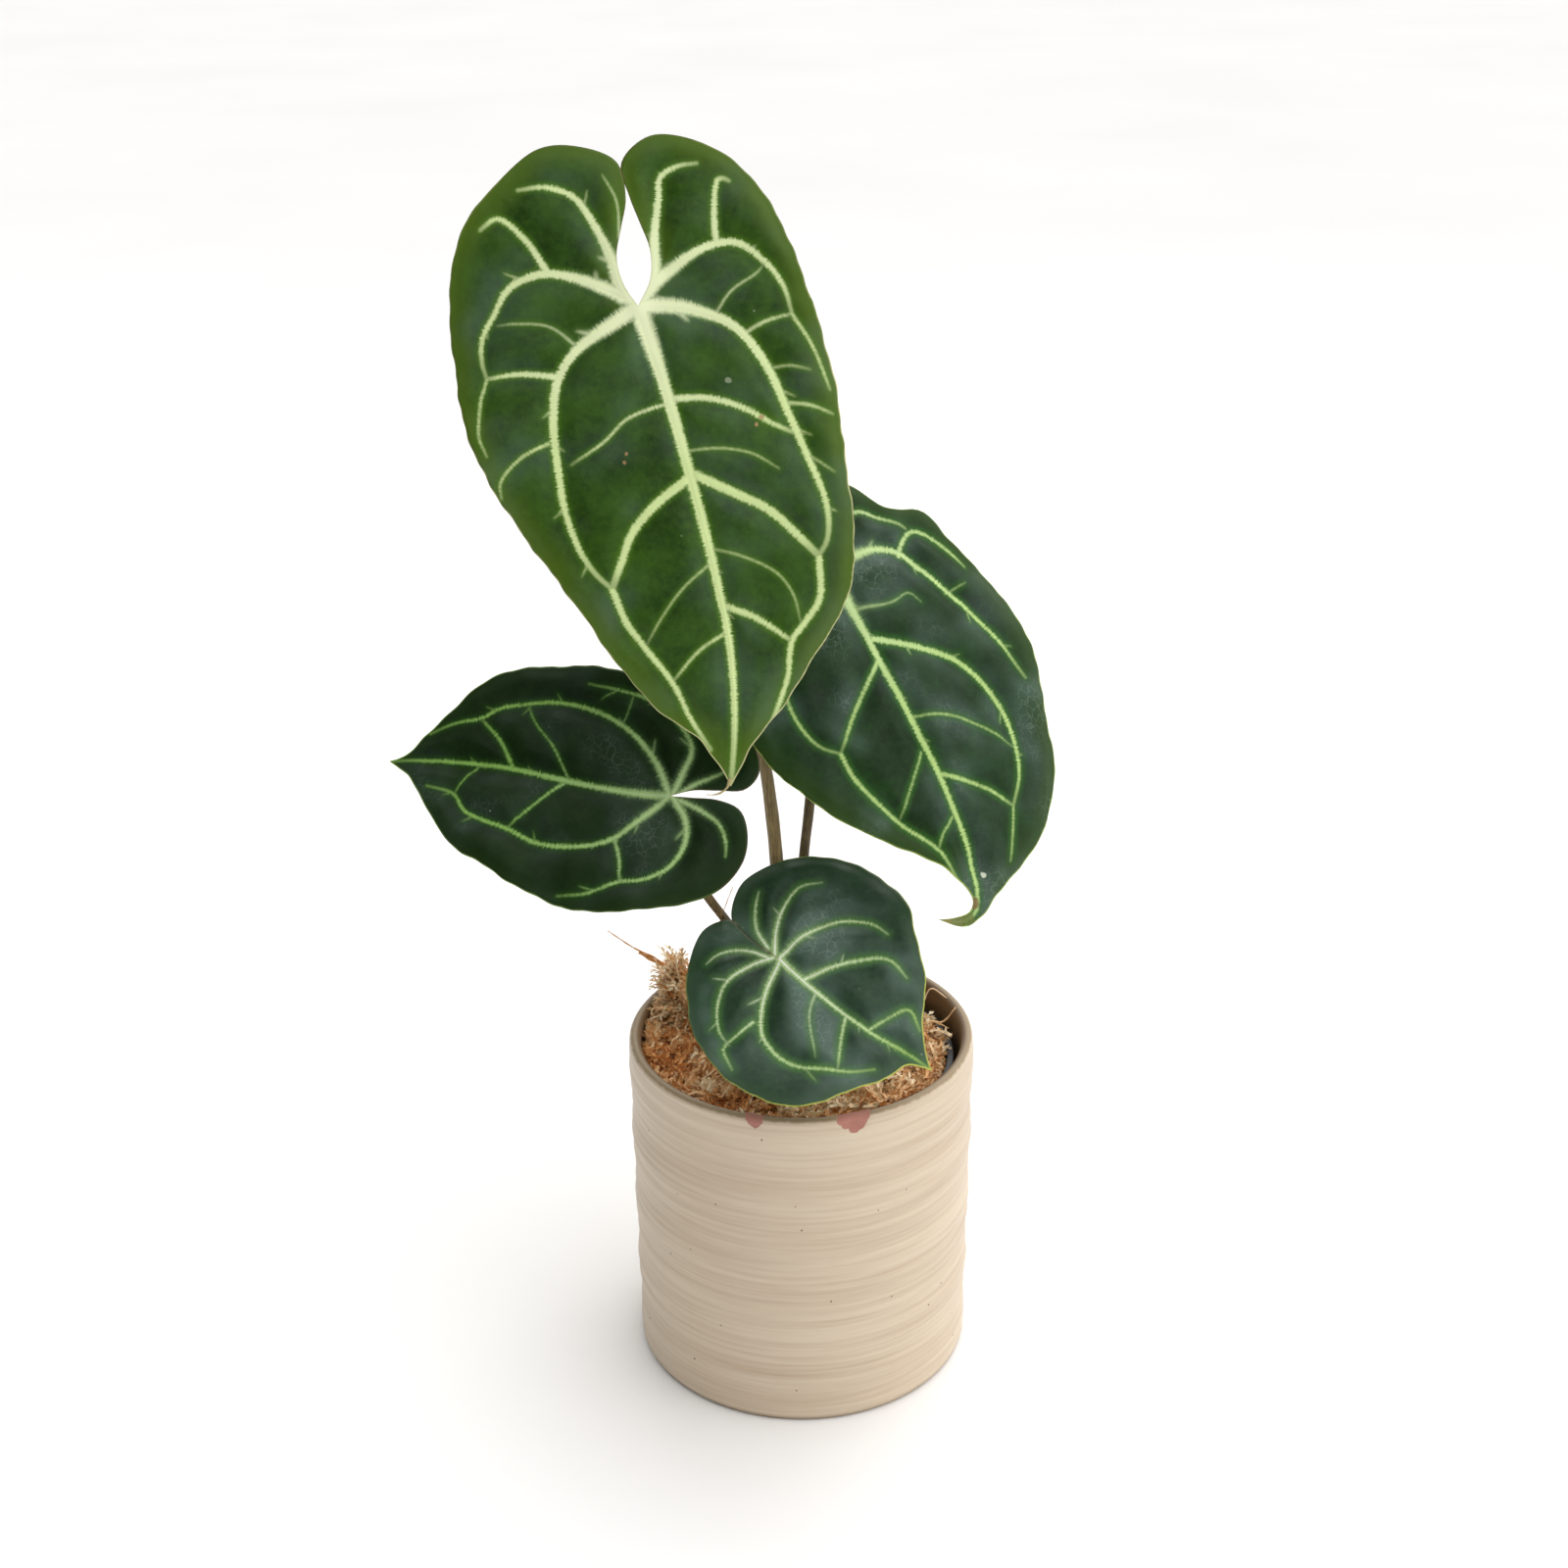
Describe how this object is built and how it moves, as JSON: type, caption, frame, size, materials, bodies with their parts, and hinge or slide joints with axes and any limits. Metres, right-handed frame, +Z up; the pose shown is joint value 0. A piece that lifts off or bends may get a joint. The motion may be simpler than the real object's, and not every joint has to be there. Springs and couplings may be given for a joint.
{
  "type": "potted anthurium",
  "caption": "Velvet-leaf aroid with heart-shaped, pale-veined blades on thin stalks, rooted in moss in a grow pot inside a cylindrical stoneware cachepot.",
  "frame": {"origin": "centre of the cachepot's flat base, on the surface it stands on", "axes": "+Z up, -Y towards the side that the large leaves face, +X to the viewer's right from there"},
  "size_m": [0.2552, 0.1423, 0.4811],
  "materials": {
    "stoneware": "brushed satin glaze over thrown stoneware",
    "black_plastic": "satin moulded",
    "moss": "dry fibrous",
    "stalk": "smooth waxy",
    "young_leaf": "velvety, satin",
    "leaf": "leathery, satin"
  },
  "bodies": {
    "root": {"cachepot": "stoneware", "grow_pot": "black_plastic", "moss": "moss", "stem_and_stalks": "stalk", "blade_tall": "young_leaf", "blade_right": "leaf", "blade_left": "leaf", "blade_low": "leaf"}
  },
  "joints": []
}
